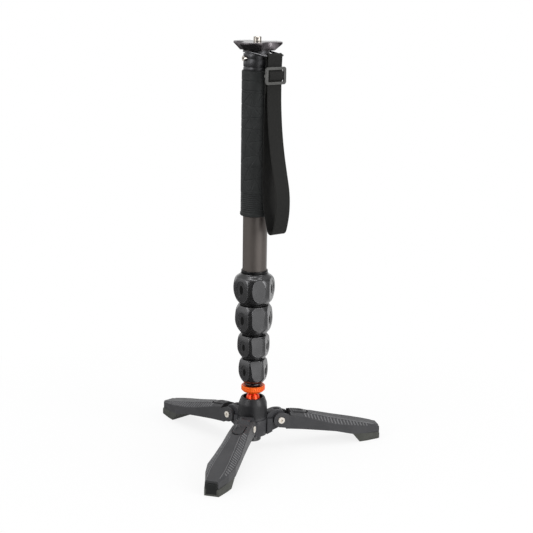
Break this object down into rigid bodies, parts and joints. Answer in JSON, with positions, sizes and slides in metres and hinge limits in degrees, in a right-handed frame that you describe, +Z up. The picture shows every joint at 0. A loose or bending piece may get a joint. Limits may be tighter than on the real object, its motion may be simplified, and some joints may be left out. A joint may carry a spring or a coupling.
{
  "type": "camera monopod",
  "caption": "Telescopic camera monopod with twist collars, rubber hand grip, wrist strap, and a pivoting foot on three folding legs.",
  "frame": {"origin": "point on the ground under the middle of the column", "axes": "+Z up along the column, -Y along the first leg, which points nearest to the viewer"},
  "size_m": [0.2898, 0.251, 0.4993],
  "materials": {
    "anodised_black": "gloss black anodised",
    "grey_tube": "satin grey anodised",
    "plain_aluminium": "machined",
    "orange_anodised": "orange anodised",
    "dark_alloy": "matte dark grey powder coat",
    "dark_plate": "dark anodised, satin",
    "stainless": "bright",
    "steel": "spring steel",
    "black_wire": "black coated",
    "black_nylon": "matte",
    "buckle_plastic": "semi-gloss",
    "black_rubber": "matte",
    "grip_rubber": "matte textured",
    "webbing": "woven webbing"
  },
  "bodies": {
    "base": {"hub_spider": "dark_alloy", "foot_cap": "anodised_black", "cap_screw": "stainless", "preload_spring": "steel", "pressure_ring": "black_nylon", "pivot_bolts": "stainless", "pivot_nuts": "stainless"},
    "fold_leg_1": {"leg_1": "dark_alloy", "leg_shoe_1": "black_rubber", "button_spring_1": "steel"},
    "push_button_1": {"release_button_1": "black_nylon"},
    "fold_leg_2": {"leg_2": "dark_alloy", "leg_shoe_2": "black_rubber", "button_spring_2": "steel"},
    "push_button_2": {"release_button_2": "black_nylon"},
    "fold_leg_3": {"leg_3": "dark_alloy", "leg_shoe_3": "black_rubber", "button_spring_3": "steel"},
    "push_button_3": {"release_button_3": "black_nylon"},
    "dome": {"hub_dome": "dark_alloy"},
    "seat": {"ball_seat": "black_nylon"},
    "stem": {"ball_stem": "orange_anodised"},
    "ring": {"lock_ring": "orange_anodised"},
    "section_5": {"tube_5": "grey_tube", "guide_bush_5": "black_nylon", "foot_adaptor": "anodised_black"},
    "section_4": {"tube_4": "grey_tube", "guide_bush_4": "black_nylon", "thread_sleeve_4": "plain_aluminium", "collet_4": "black_nylon", "seal_ring_4": "anodised_black"},
    "section_3": {"tube_3": "grey_tube", "guide_bush_3": "black_nylon", "thread_sleeve_3": "plain_aluminium", "collet_3": "black_nylon", "seal_ring_3": "anodised_black"},
    "section_2": {"tube_2": "grey_tube", "guide_bush_2": "black_nylon", "thread_sleeve_2": "plain_aluminium", "collet_2": "black_nylon", "seal_ring_2": "anodised_black"},
    "section_1": {"tube_1": "grey_tube", "thread_sleeve_1": "plain_aluminium", "collet_1": "black_nylon", "seal_ring_1": "anodised_black", "hand_grip": "grip_rubber", "neck_collar": "anodised_black", "neck_set_screw": "stainless", "head_plate": "dark_plate", "camera_stud": "stainless"},
    "collar_1": {"twist_collar_1": "anodised_black"},
    "collar_2": {"twist_collar_2": "anodised_black"},
    "collar_3": {"twist_collar_3": "anodised_black"},
    "collar_4": {"twist_collar_4": "anodised_black"},
    "wire": {"strap_ring": "black_wire"},
    "strap": {"wrist_strap": "webbing", "strap_buckle": "buckle_plastic"}
  },
  "joints": [
    {"name": "leg_fold_1", "type": "hinge", "parent": "base", "child": "fold_leg_1", "pos_m": [0, -0.0336, 0.0346], "axis": [-1, 0, 0], "range_deg": [0, 90]},
    {"name": "leg_fold_2", "type": "hinge", "parent": "base", "child": "fold_leg_2", "pos_m": [0.0291, 0.0168, 0.0346], "axis": [0.5, -0.866, 0], "range_deg": [0, 90]},
    {"name": "leg_fold_3", "type": "hinge", "parent": "base", "child": "fold_leg_3", "pos_m": [-0.0291, 0.0168, 0.0346], "axis": [0.5, 0.866, 0], "range_deg": [0, 90]},
    {"name": "button_press_1", "type": "slide", "parent": "fold_leg_1", "child": "push_button_1", "axis": [0, 0, -1], "range_m": [0, 0.0015], "stiffness_N_per_m": 300, "springref_m": -0.002, "deforming": ["button_spring_1"]},
    {"name": "button_press_2", "type": "slide", "parent": "fold_leg_2", "child": "push_button_2", "axis": [0, 0, -1], "range_m": [0, 0.0015], "stiffness_N_per_m": 300, "springref_m": -0.002, "deforming": ["button_spring_2"]},
    {"name": "button_press_3", "type": "slide", "parent": "fold_leg_3", "child": "push_button_3", "axis": [0, 0, -1], "range_m": [0, 0.0015], "stiffness_N_per_m": 300, "springref_m": -0.002, "deforming": ["button_spring_3"]},
    {"name": "dome_turn", "type": "hinge", "parent": "base", "child": "dome", "pos_m": [0, 0, 0.05], "axis": [0, 0, 1], "range_deg": [0, 90]},
    {"name": "ball_heading", "type": "hinge", "parent": "base", "child": "seat", "pos_m": [0, 0, 0.044], "axis": [0, 0, 1], "continuous": true},
    {"name": "ball_lean", "type": "hinge", "parent": "seat", "child": "stem", "pos_m": [0, 0, 0.044], "axis": [1, 0, 0], "range_deg": [0, 8]},
    {"name": "lock_ring_turn", "type": "hinge", "parent": "stem", "child": "ring", "pos_m": [0, 0, 0.0755], "axis": [0, 0, 1], "range_deg": [0, 90]},
    {"name": "mast_pan", "type": "hinge", "parent": "stem", "child": "section_5", "pos_m": [0, 0, 0.08], "axis": [0, 0, 1], "continuous": true},
    {"name": "mast_slide_4", "type": "slide", "parent": "section_5", "child": "section_4", "axis": [0, 0, 1], "range_m": [0, 0.296]},
    {"name": "mast_slide_3", "type": "slide", "parent": "section_4", "child": "section_3", "axis": [0, 0, 1], "range_m": [0, 0.268]},
    {"name": "mast_slide_2", "type": "slide", "parent": "section_3", "child": "section_2", "axis": [0, 0, 1], "range_m": [0, 0.238]},
    {"name": "mast_slide_1", "type": "slide", "parent": "section_2", "child": "section_1", "axis": [0, 0, 1], "range_m": [0, 0.203]},
    {"name": "collar_turn_1", "type": "hinge", "parent": "section_1", "child": "collar_1", "pos_m": [0, 0, 0.2023], "axis": [0, 0, 1], "range_deg": [0, 120]},
    {"name": "collar_turn_2", "type": "hinge", "parent": "section_2", "child": "collar_2", "pos_m": [0, 0, 0.1638], "axis": [0, 0, 1], "range_deg": [0, 120]},
    {"name": "collar_turn_3", "type": "hinge", "parent": "section_3", "child": "collar_3", "pos_m": [0, 0, 0.1298], "axis": [0, 0, 1], "range_deg": [0, 120]},
    {"name": "collar_turn_4", "type": "hinge", "parent": "section_4", "child": "collar_4", "pos_m": [0, 0, 0.0981], "axis": [0, 0, 1], "range_deg": [0, 120]},
    {"name": "strap_ring_turn", "type": "hinge", "parent": "section_1", "child": "wire", "pos_m": [0, 0, 0.4825], "axis": [0, 0, 1], "continuous": true},
    {"name": "strap_swing", "type": "hinge", "parent": "wire", "child": "strap", "pos_m": [0.02304, -0.01027, 0.4789], "axis": [-0.6129, -0.7902, 0], "range_deg": [0, 110]}
  ]
}
